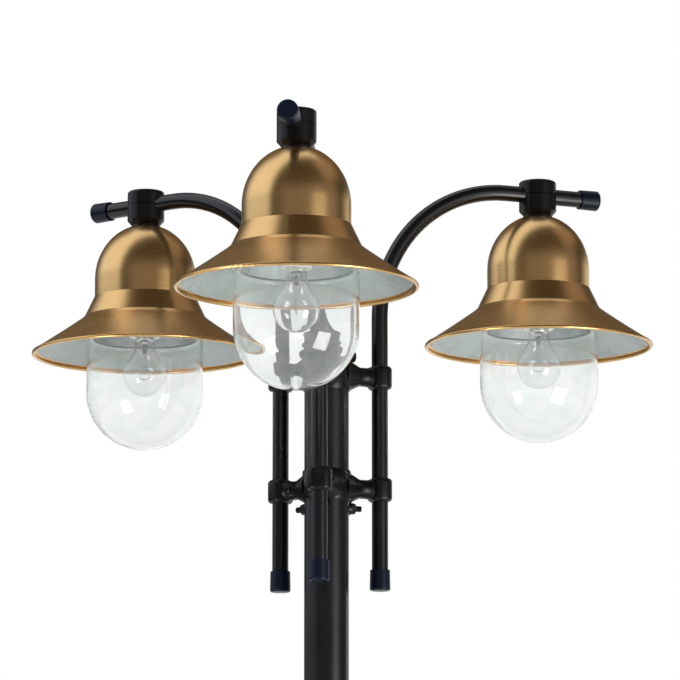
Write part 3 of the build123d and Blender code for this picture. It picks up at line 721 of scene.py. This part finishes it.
def make_bulb_cap(head):
    """Threaded cap of the bulb with its contact."""
    sides = 64
    top = CAP_MOUTH + CAP_HEIGHT
    rings = [circle(radius, CAP_MOUTH + rise, sides) for radius, rise in CAP_LIP]
    rings += threaded(CAP_RADIUS, *CAP_THREAD, CAP_MOUTH + CAP_THREAD_START, top, sides, 12)
    rings += [circle(radius, top + rise, sides) for radius, rise in CAP_CONTACT]
    rings.append(circle(0.0, CAP_MOUTH, sides))
    piece("threaded_cap_" + head, [(*lofted(rings), on_arm(head, HEAD_CIRCLE, RIM_LEVEL))],
          "bulb_" + head, MATERIALS["bulb_cap_metal"], ["bulb_cap_" + head], 40.0)


def make_filament(head):
    """Two leads, two holders, and the coiled wire between them."""
    count = COIL_TURNS * COIL_STEPS
    spiral = []
    for k in range(count + 1):
        share, angle = k / count, 2 * math.pi * COIL_TURNS * k / count
        sag = COIL_SAG * math.sin(math.pi * share)
        spiral.append((LEAD_SPREAD * (2 * share - 1), COIL_RADIUS * math.cos(angle),
                       LEAD_TIP - sag + COIL_RADIUS * math.sin(angle)))
    strands = [lofted(wire(spiral, COIL_WIRE, 6))]
    for side in (-1.0, 1.0):
        lead = [(side * 1.6, 0.0, STEM_TIP + 0.5), (side * 2.4, 0.0, STEM_TIP - 2.0),
                (side * 8.3, 0.0, LEAD_TIP + 1.4), (side * LEAD_SPREAD, 0.0, LEAD_TIP),
                (side * LEAD_SPREAD, 0.0, LEAD_TIP - 0.5)]
        holder = [(0.0, side * 1.2, STEM_TIP + 0.3), (side * 1.4, side * 0.4, STEM_TIP - 8.0),
                  (side * 2.9, 0.0, LEAD_TIP - 2.0)]
        strands += [lofted(wire(lead, LEAD_WIRE)), lofted(wire(holder, HOLDER_WIRE, 6))]
    rim = on_arm(head, HEAD_CIRCLE, RIM_LEVEL)
    piece("coiled_wire_" + head, [(*strand, rim) for strand in strands], "bulb_" + head,
          MATERIALS["filament_wire"], ["bulb_filament_" + head], 60.0)


def make_pieces():
    for level in STUB_LEVELS:
        make_bracket(level)
        make_set_bolts(level)
    make_stub_screws()
    for head in HEADS:
        make_head(head)
        make_bulb_cap(head)
        make_filament(head)


# ---------------------------------------------------------------- studio
def compass(around, above):
    """The direction that lies so many degrees round from the camera's side and above level."""
    angle = math.atan2(CAMERA_PLACE[1], CAMERA_PLACE[0]) + math.radians(around)
    level = math.cos(math.radians(above))
    return (level * math.cos(angle), level * math.sin(angle), math.sin(math.radians(above)))


def light_room():
    """White where the camera or glass looks, large soft lights, and a grey room round them."""
    world = bpy.data.worlds.new("studio")
    bpy.context.scene.world = world
    s = Shader(world)
    looking = s.add("TexCoord").outputs["Generated"]
    _, depth, up = s.split(looking)
    side = s.vector("DOT_PRODUCT", looking, compass(90.0, 0.0), output="Value")
    ahead = s.vector("DOT_PRODUCT", looking, compass(0.0, 0.0), output="Value")
    around = s.math("DEGREES", s.math("ARCTAN2", side, ahead))
    above = s.math("DEGREES", s.math("ARCSINE", up))
    key_side = s.vector("DOT_PRODUCT", looking, compass(*KEY_LEAN), output="Value")

    def patch(*edges):
        """How much of a softbox is seen, from where each of its edges starts and ends."""
        level = 1.0
        for value, (start, end) in edges:
            if start < end:
                part = s.spread(value, 0.0, 1.0, start, end)
            else:
                part = s.spread(value, 1.0, 0.0, end, start)
            level = s.math("MULTIPLY", level, part)
        return level

    def shine(level, radiance, colour):
        return s.vector("MULTIPLY", s.join(level, level, level),
                        tuple(radiance * band for band in colour[:3]))

    leftwards = s.math("WRAP", around, 0.0, -360.0)
    key = patch((key_side, KEY_EDGE), (leftwards, KEY_BACK), (above, KEY_LOW))
    key_top = patch((key_side, KEY_EDGE), (above, KEY_OVERHEAD))
    key = s.math("MAXIMUM", key, key_top)
    fill = patch((around, FILL_LEFT), (around, FILL_RIGHT), (above, FILL_TOP), (above, FILL_LOW))
    strip = patch(
        (around, STRIP_LEFT), (around, STRIP_RIGHT), (above, STRIP_TOP), (above, STRIP_LOW))
    warm = patch((around, WARM_LEFT), (around, WARM_RIGHT), (above, WARM_TOP), (above, WARM_LOW))
    rear = patch((s.math("ABSOLUTE", around), REAR_SIDE), (above, REAR_TOP), (above, REAR_LOW))
    backdrop = s.math("MULTIPLY", s.spread(depth, 0.0, 1.0, *BACKDROP_DEPTH),
                      s.spread(up, 1.0, 0.0, *BACKDROP_TOP))
    backdrop = s.math(
        "MULTIPLY", backdrop, s.spread(side, BACKDROP_LEFT_LEVEL, 1.0, *BACKDROP_SIDE))
    room = s.spread(up, ROOM_FRONT, ROOM_CEILING, *CEILING_START)
    gloss = s.math("ADD", backdrop, s.math("MULTIPLY", s.math("SUBTRACT", 1.0, backdrop), room))
    path = s.add("LightPath").outputs
    is_gloss = path["Is Glossy Ray"]
    base = s.math("ADD", s.math("MULTIPLY", is_gloss, gloss),
                  s.math("MULTIPLY", s.math("SUBTRACT", 1.0, is_gloss), ROOM_LIGHT))
    tinted = s.math("MULTIPLY", is_gloss, s.spread(up, 0.0, 1.0, *CEILING_TINT))
    light = s.vector("MULTIPLY", s.mix(tinted, WHITE, CEILING_COLOUR), s.join(base, base, base))
    for level, radiance, colour in ((key, KEY_RADIANCE, KEY_COLOUR),
                                    (fill, FILL_RADIANCE, FILL_COLOUR),
                                    (strip, STRIP_RADIANCE, WHITE),
                                    (warm, WARM_RADIANCE, WARM_COLOUR),
                                    (rear, REAR_RADIANCE, REAR_COLOUR)):
        light = s.vector("ADD", light, shine(level, radiance, colour))
    seen = s.math("MAXIMUM", path["Is Camera Ray"], path["Is Transmission Ray"])
    background = s.add("Background")
    s.feed(background.inputs["Color"], s.mix(seen, light, WHITE))
    background.inputs["Strength"].default_value = 1.0
    s.show(background.outputs[0], "OutputWorld")


def hang_windows():
    aim = Vector(STUDIO_AIM)
    for name, (around, above, width, height) in WINDOWS.items():
        lamp = bpy.data.lights.new(name, "AREA")
        lamp.shape = "RECTANGLE"
        lamp.size = width
        lamp.size_y = height
        lamp.energy = WINDOW_RADIANCE * math.pi * width * height
        holder = bpy.data.objects.new(name, lamp)
        bpy.context.scene.collection.objects.link(holder)
        holder.location = aim + WINDOW_DISTANCE * Vector(compass(around, above))
        holder.visible_diffuse = False
        turn = (aim - holder.location).to_track_quat("-Z", "Y")
        holder.rotation_euler = turn.to_euler()


def lay_floor():
    """A pale round floor that fades into the white room away from the post."""
    mesh = bpy.data.meshes.new("floor")
    mesh.from_pydata(circle(FLOOR_RADIUS, 0.0), [], [tuple(range(SIDES))])
    floor = bpy.data.objects.new("floor", mesh)
    bpy.context.scene.collection.objects.link(floor)
    s = new_shader("floor")
    x, y, _ = s.split(s.place())
    far = s.math("SQRT", s.math("ADD", s.math("MULTIPLY", x, x), s.math("MULTIPLY", y, y)))
    fade = s.spread(far, 0.0, 1.0, *FLOOR_FADE)
    matt = s.principled(Base_Color=FLOOR_COLOUR, Roughness=0.8)
    glow = s.add("Emission")
    glow.inputs["Color"].default_value = WHITE
    floor.data.materials.append(s.show(s.blend(fade, matt, glow.outputs[0])))


def place_camera():
    data = bpy.data.cameras.new("camera")
    data.lens = CAMERA_LENS
    data.sensor_width = CAMERA_SENSOR
    camera = bpy.data.objects.new("camera", data)
    bpy.context.scene.collection.objects.link(camera)
    camera.location = CAMERA_PLACE
    camera.rotation_euler = (math.radians(90.0 + CAMERA_PITCH), 0.0, math.radians(CAMERA_TURN))
    bpy.context.scene.camera = camera


dress_nodes()
make_pieces()
light_room()
hang_windows()
lay_floor()
place_camera()
bpy.context.scene.view_settings.view_transform = "Standard"
